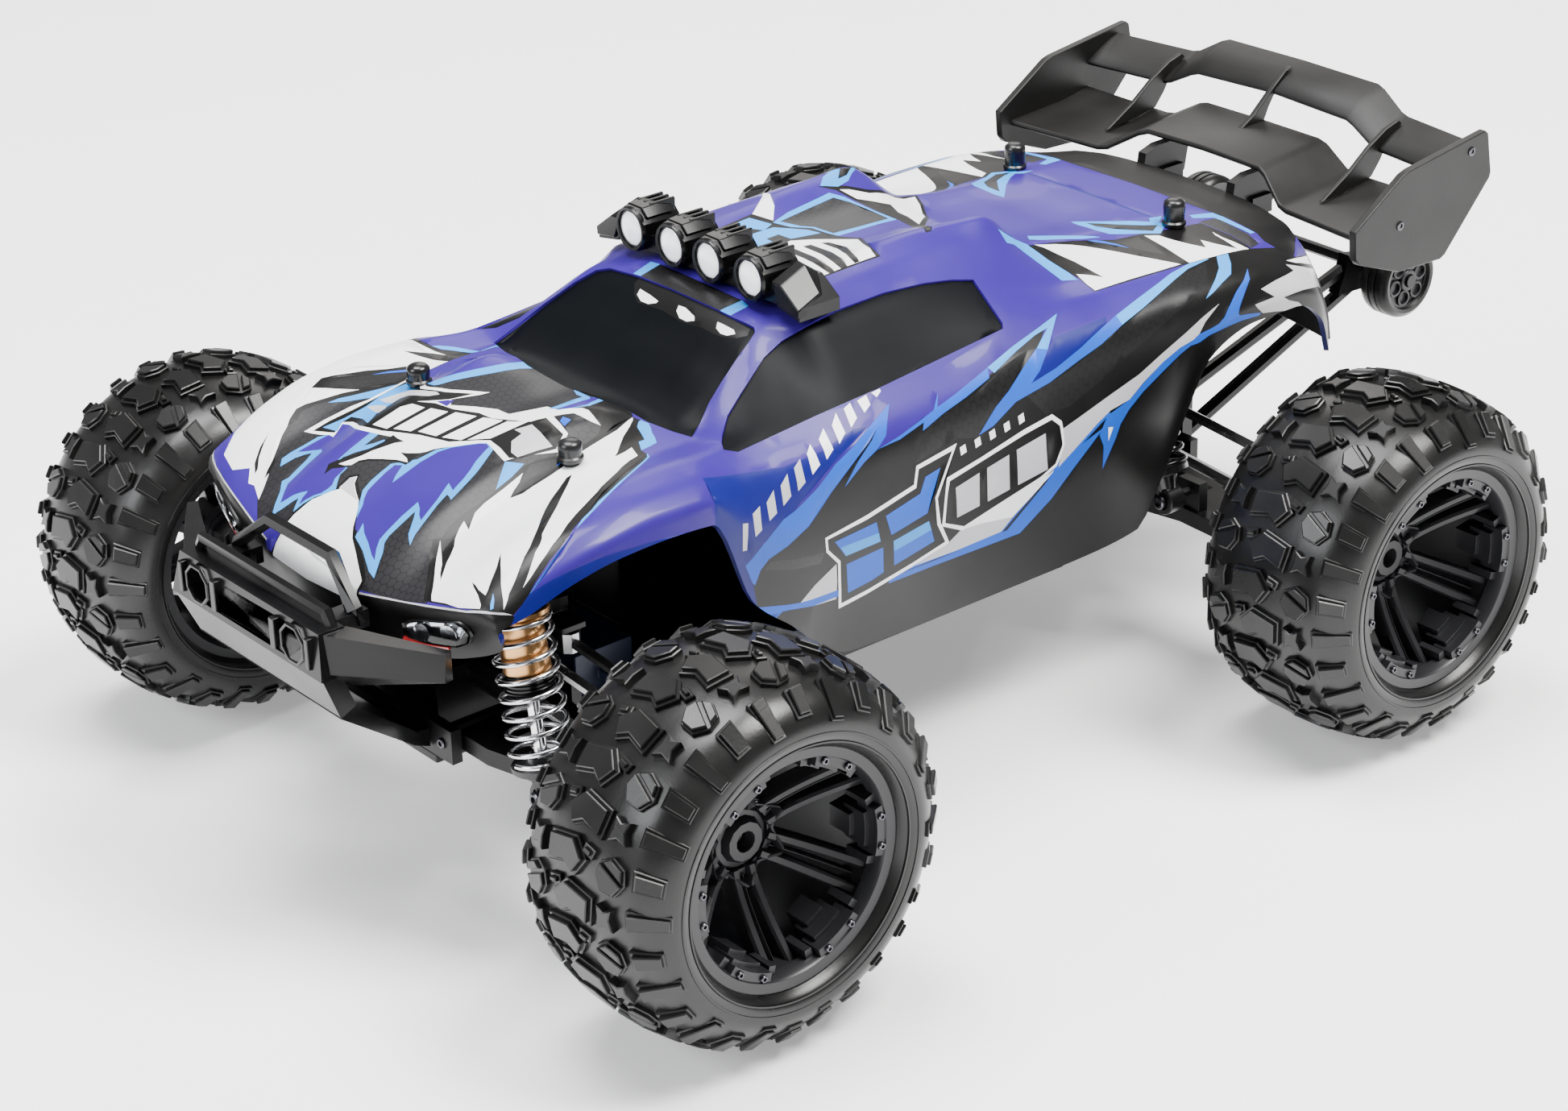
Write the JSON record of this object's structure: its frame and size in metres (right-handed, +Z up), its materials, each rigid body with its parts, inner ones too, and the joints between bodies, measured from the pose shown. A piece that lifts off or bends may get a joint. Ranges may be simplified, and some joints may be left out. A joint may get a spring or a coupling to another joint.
{
  "type": "radio-controlled monster truck",
  "caption": "Four-wheel-drive toy truck with steered, sprung wheels, lugged tyres, moulded shell, roof lamps, rear wing and wheelie bar.",
  "frame": {"origin": "on the ground under the middle of the truck's bounding box", "axes": "-Y is the truck's nose, +X its left side, +Z up"},
  "size_m": [0.2742, 0.374, 0.1431],
  "materials": {
    "tyre_rubber": "satin",
    "rim_plastic": "satin",
    "black_plastic": "satin",
    "gloss_black": "gloss",
    "purple_paint": "gloss",
    "gold_metal": "anodised",
    "chrome": "polished",
    "steel": "satin",
    "servo_blue": "satin"
  },
  "bodies": {
    "frame": {"chassis": "black_plastic", "front_gearbox": "black_plastic", "rear_gearbox": "black_plastic", "front_tower": "black_plastic", "rear_tower": "black_plastic", "front_bumper": "gloss_black", "body_shell": "purple_paint", "light_bar": "gloss_black", "rear_wing": "black_plastic", "wheelie_bar": "black_plastic", "motor": "steel", "steering_servo": "servo_blue"},
    "arm_fl": {"arm_fl": "black_plastic"},
    "c_hub_fl": {"c_hub_fl": "black_plastic"},
    "camber_link_fl": {"camber_link_fl": "steel"},
    "dogbone_fl": {"dogbone_fl": "steel"},
    "shock_body_fl": {"shock_body_fl": "gold_metal", "spring_fl": "chrome"},
    "shock_shaft_fl": {"shock_shaft_fl": "chrome"},
    "knuckle_fl": {"knuckle_fl": "black_plastic"},
    "wheel_fl": {"tyre_fl": "tyre_rubber", "rim_fl": "rim_plastic", "axle_fl": "steel"},
    "arm_fr": {"arm_fr": "black_plastic"},
    "c_hub_fr": {"c_hub_fr": "black_plastic"},
    "camber_link_fr": {"camber_link_fr": "steel"},
    "dogbone_fr": {"dogbone_fr": "steel"},
    "shock_body_fr": {"shock_body_fr": "gold_metal", "spring_fr": "chrome"},
    "shock_shaft_fr": {"shock_shaft_fr": "chrome"},
    "knuckle_fr": {"knuckle_fr": "black_plastic"},
    "wheel_fr": {"tyre_fr": "tyre_rubber", "rim_fr": "rim_plastic", "axle_fr": "steel"},
    "arm_rl": {"arm_rl": "black_plastic"},
    "hub_carrier_rl": {"hub_carrier_rl": "black_plastic"},
    "camber_link_rl": {"camber_link_rl": "steel"},
    "dogbone_rl": {"dogbone_rl": "steel"},
    "shock_body_rl": {"shock_body_rl": "gold_metal", "spring_rl": "chrome"},
    "shock_shaft_rl": {"shock_shaft_rl": "chrome"},
    "wheel_rl": {"tyre_rl": "tyre_rubber", "rim_rl": "rim_plastic", "axle_rl": "steel"},
    "arm_rr": {"arm_rr": "black_plastic"},
    "hub_carrier_rr": {"hub_carrier_rr": "black_plastic"},
    "camber_link_rr": {"camber_link_rr": "steel"},
    "dogbone_rr": {"dogbone_rr": "steel"},
    "shock_body_rr": {"shock_body_rr": "gold_metal", "spring_rr": "chrome"},
    "shock_shaft_rr": {"shock_shaft_rr": "chrome"},
    "wheel_rr": {"tyre_rr": "tyre_rubber", "rim_rr": "rim_plastic", "axle_rr": "steel"},
    "steering_link": {"steering_link": "black_plastic"},
    "servo_horn": {"servo_horn": "black_plastic"},
    "tie_rod_fl": {"tie_rod_fl": "steel"},
    "tie_rod_fr": {"tie_rod_fr": "steel"},
    "wheelie_wheel_l": {"wheelie_wheel_l": "black_plastic"},
    "wheelie_wheel_r": {"wheelie_wheel_r": "black_plastic"}
  },
  "joints": [
    {"name": "suspension_fl", "type": "hinge", "parent": "frame", "child": "arm_fl", "pos_m": [0.021, -0.1292, 0.043], "axis": [0, -1, 0], "range_deg": [-8, 12], "stiffness_Nm_per_rad": 2.6, "springref_deg": -4.01},
    {"name": "c_hub_fl_pivot", "type": "hinge", "parent": "arm_fl", "child": "c_hub_fl", "pos_m": [0.08, -0.1292, 0.038], "axis": [0, -1, 0], "range_deg": [-12.1, 8.1]},
    {"name": "camber_link_fl_pivot", "type": "hinge", "parent": "frame", "child": "camber_link_fl", "pos_m": [0.014, -0.1298, 0.0685], "axis": [0, -1, 0], "range_deg": [-8.1, 12.1]},
    {"name": "dogbone_fl_swing", "type": "hinge", "parent": "frame", "child": "dogbone_fl", "pos_m": [0.028, -0.1292, 0.053], "axis": [0, -1, 0], "range_deg": [-8.1, 12.1]},
    {"name": "shock_fl_lean", "type": "hinge", "parent": "frame", "child": "shock_body_fl", "pos_m": [0.0518, -0.1452, 0.096], "axis": [0, -1, 0], "range_deg": [-0.8, 1.14]},
    {"name": "shock_fl_stroke", "type": "slide", "parent": "shock_body_fl", "child": "shock_shaft_fl", "axis": [0.1726, 0, -0.985], "range_m": [-0.0084, 0.00564], "deforming": ["spring_fl"]},
    {"name": "steer_fl", "type": "hinge", "parent": "c_hub_fl", "child": "knuckle_fl", "pos_m": [0.087, -0.1292, 0.048], "axis": [0, 0, 1], "range_deg": [-22, 22]},
    {"name": "wheel_fl_spin", "type": "hinge", "parent": "knuckle_fl", "child": "wheel_fl", "pos_m": [0.1104, -0.1292, 0.048], "axis": [1, 0, 0], "continuous": true},
    {"name": "suspension_fr", "type": "hinge", "parent": "frame", "child": "arm_fr", "pos_m": [-0.021, -0.1292, 0.043], "axis": [0, 1, 0], "range_deg": [-8, 12], "stiffness_Nm_per_rad": 2.6, "springref_deg": -4.01},
    {"name": "c_hub_fr_pivot", "type": "hinge", "parent": "arm_fr", "child": "c_hub_fr", "pos_m": [-0.08, -0.1292, 0.038], "axis": [0, 1, 0], "range_deg": [-12.1, 8.1]},
    {"name": "camber_link_fr_pivot", "type": "hinge", "parent": "frame", "child": "camber_link_fr", "pos_m": [-0.014, -0.1298, 0.0685], "axis": [0, 1, 0], "range_deg": [-8.1, 12.1]},
    {"name": "dogbone_fr_swing", "type": "hinge", "parent": "frame", "child": "dogbone_fr", "pos_m": [-0.028, -0.1292, 0.053], "axis": [0, 1, 0], "range_deg": [-8.1, 12.1]},
    {"name": "shock_fr_lean", "type": "hinge", "parent": "frame", "child": "shock_body_fr", "pos_m": [-0.0518, -0.1452, 0.096], "axis": [0, 1, 0], "range_deg": [-0.8, 1.14]},
    {"name": "shock_fr_stroke", "type": "slide", "parent": "shock_body_fr", "child": "shock_shaft_fr", "axis": [-0.1726, 0, -0.985], "range_m": [-0.0084, 0.00564], "deforming": ["spring_fr"]},
    {"name": "steer_fr", "type": "hinge", "parent": "c_hub_fr", "child": "knuckle_fr", "pos_m": [-0.087, -0.1292, 0.048], "axis": [0, 0, 1], "range_deg": [-22.1, 22.1]},
    {"name": "wheel_fr_spin", "type": "hinge", "parent": "knuckle_fr", "child": "wheel_fr", "pos_m": [-0.1104, -0.1292, 0.048], "axis": [1, 0, 0], "continuous": true},
    {"name": "suspension_rl", "type": "hinge", "parent": "frame", "child": "arm_rl", "pos_m": [0.021, 0.0882, 0.043], "axis": [0, -1, 0], "range_deg": [-8, 12], "stiffness_Nm_per_rad": 2.6, "springref_deg": -4.01},
    {"name": "hub_carrier_rl_pivot", "type": "hinge", "parent": "arm_rl", "child": "hub_carrier_rl", "pos_m": [0.08, 0.0882, 0.038], "axis": [0, -1, 0], "range_deg": [-12.1, 8.1]},
    {"name": "camber_link_rl_pivot", "type": "hinge", "parent": "frame", "child": "camber_link_rl", "pos_m": [0.014, 0.0876, 0.0685], "axis": [0, -1, 0], "range_deg": [-8.1, 12.1]},
    {"name": "dogbone_rl_swing", "type": "hinge", "parent": "frame", "child": "dogbone_rl", "pos_m": [0.028, 0.0882, 0.053], "axis": [0, -1, 0], "range_deg": [-8.1, 12.1]},
    {"name": "shock_rl_lean", "type": "hinge", "parent": "frame", "child": "shock_body_rl", "pos_m": [0.031, 0.0722, 0.091], "axis": [0, -1, 0], "range_deg": [-1.12, 1.63]},
    {"name": "shock_rl_stroke", "type": "slide", "parent": "shock_body_rl", "child": "shock_shaft_rl", "axis": [0.4042, 0, -0.9147], "range_m": [-0.00613, 0.00412], "deforming": ["spring_rl"]},
    {"name": "wheel_rl_spin", "type": "hinge", "parent": "hub_carrier_rl", "child": "wheel_rl", "pos_m": [0.1104, 0.0882, 0.048], "axis": [1, 0, 0], "continuous": true},
    {"name": "suspension_rr", "type": "hinge", "parent": "frame", "child": "arm_rr", "pos_m": [-0.021, 0.0882, 0.043], "axis": [0, 1, 0], "range_deg": [-8, 12], "stiffness_Nm_per_rad": 2.6, "springref_deg": -4.01},
    {"name": "hub_carrier_rr_pivot", "type": "hinge", "parent": "arm_rr", "child": "hub_carrier_rr", "pos_m": [-0.08, 0.0882, 0.038], "axis": [0, 1, 0], "range_deg": [-12.1, 8.1]},
    {"name": "camber_link_rr_pivot", "type": "hinge", "parent": "frame", "child": "camber_link_rr", "pos_m": [-0.014, 0.0876, 0.0685], "axis": [0, 1, 0], "range_deg": [-8.1, 12.1]},
    {"name": "dogbone_rr_swing", "type": "hinge", "parent": "frame", "child": "dogbone_rr", "pos_m": [-0.028, 0.0882, 0.053], "axis": [0, 1, 0], "range_deg": [-8.1, 12.1]},
    {"name": "shock_rr_lean", "type": "hinge", "parent": "frame", "child": "shock_body_rr", "pos_m": [-0.031, 0.0722, 0.091], "axis": [0, 1, 0], "range_deg": [-1.12, 1.63]},
    {"name": "shock_rr_stroke", "type": "slide", "parent": "shock_body_rr", "child": "shock_shaft_rr", "axis": [-0.4042, 0, -0.9147], "range_m": [-0.00613, 0.00412], "deforming": ["spring_rr"]},
    {"name": "wheel_rr_spin", "type": "hinge", "parent": "hub_carrier_rr", "child": "wheel_rr", "pos_m": [-0.1104, 0.0882, 0.048], "axis": [1, 0, 0], "continuous": true},
    {"name": "steering_link_slide", "type": "slide", "parent": "frame", "child": "steering_link", "axis": [1, 0, 0], "range_m": [-0.0062, 0.0062]},
    {"name": "servo_horn_turn", "type": "hinge", "parent": "frame", "child": "servo_horn", "pos_m": [0, -0.098, 0.056], "axis": [0, 0, 1], "range_deg": [-22.5, 22.5]},
    {"name": "tie_rod_fl_pivot", "type": "hinge", "parent": "steering_link", "child": "tie_rod_fl", "pos_m": [0.028, -0.1135, 0.061], "axis": [0, -1, 0], "range_deg": [-8.1, 12.1]},
    {"name": "tie_rod_fr_pivot", "type": "hinge", "parent": "steering_link", "child": "tie_rod_fr", "pos_m": [-0.028, -0.1135, 0.061], "axis": [0, 1, 0], "range_deg": [-8.1, 12.1]},
    {"name": "wheelie_wheel_l_spin", "type": "hinge", "parent": "frame", "child": "wheelie_wheel_l", "pos_m": [0.038, 0.176, 0.0815], "axis": [1, 0, 0], "continuous": true},
    {"name": "wheelie_wheel_r_spin", "type": "hinge", "parent": "frame", "child": "wheelie_wheel_r", "pos_m": [-0.038, 0.176, 0.0815], "axis": [1, 0, 0], "continuous": true}
  ],
  "couplings": [
    {"joint": "c_hub_fl_pivot", "follows": "suspension_fl", "ratio": -1},
    {"joint": "camber_link_fl_pivot", "follows": "suspension_fl", "ratio": 1},
    {"joint": "dogbone_fl_swing", "follows": "suspension_fl", "ratio": 1},
    {"joint": "shock_fl_lean", "follows": "suspension_fl", "ratio": 0.0869},
    {"joint": "shock_fl_stroke", "follows": "suspension_fl", "m_per_rad": -0.039645},
    {"joint": "c_hub_fr_pivot", "follows": "suspension_fr", "ratio": -1},
    {"joint": "camber_link_fr_pivot", "follows": "suspension_fr", "ratio": 1},
    {"joint": "dogbone_fr_swing", "follows": "suspension_fr", "ratio": 1},
    {"joint": "shock_fr_lean", "follows": "suspension_fr", "ratio": 0.0869},
    {"joint": "shock_fr_stroke", "follows": "suspension_fr", "m_per_rad": -0.039645},
    {"joint": "hub_carrier_rl_pivot", "follows": "suspension_rl", "ratio": -1},
    {"joint": "camber_link_rl_pivot", "follows": "suspension_rl", "ratio": 1},
    {"joint": "dogbone_rl_swing", "follows": "suspension_rl", "ratio": 1},
    {"joint": "shock_rl_lean", "follows": "suspension_rl", "ratio": 0.1277},
    {"joint": "shock_rl_stroke", "follows": "suspension_rl", "m_per_rad": -0.028768},
    {"joint": "hub_carrier_rr_pivot", "follows": "suspension_rr", "ratio": -1},
    {"joint": "camber_link_rr_pivot", "follows": "suspension_rr", "ratio": 1},
    {"joint": "dogbone_rr_swing", "follows": "suspension_rr", "ratio": 1},
    {"joint": "shock_rr_lean", "follows": "suspension_rr", "ratio": 0.1277},
    {"joint": "shock_rr_stroke", "follows": "suspension_rr", "m_per_rad": -0.028768},
    {"joint": "steer_fr", "follows": "steer_fl", "ratio": 1},
    {"joint": "steering_link_slide", "follows": "steer_fl", "m_per_rad": -0.0157},
    {"joint": "servo_horn_turn", "follows": "steer_fl", "ratio": -1.013},
    {"joint": "tie_rod_fl_pivot", "follows": "suspension_fl", "ratio": 1},
    {"joint": "tie_rod_fr_pivot", "follows": "suspension_fr", "ratio": 1}
  ]
}
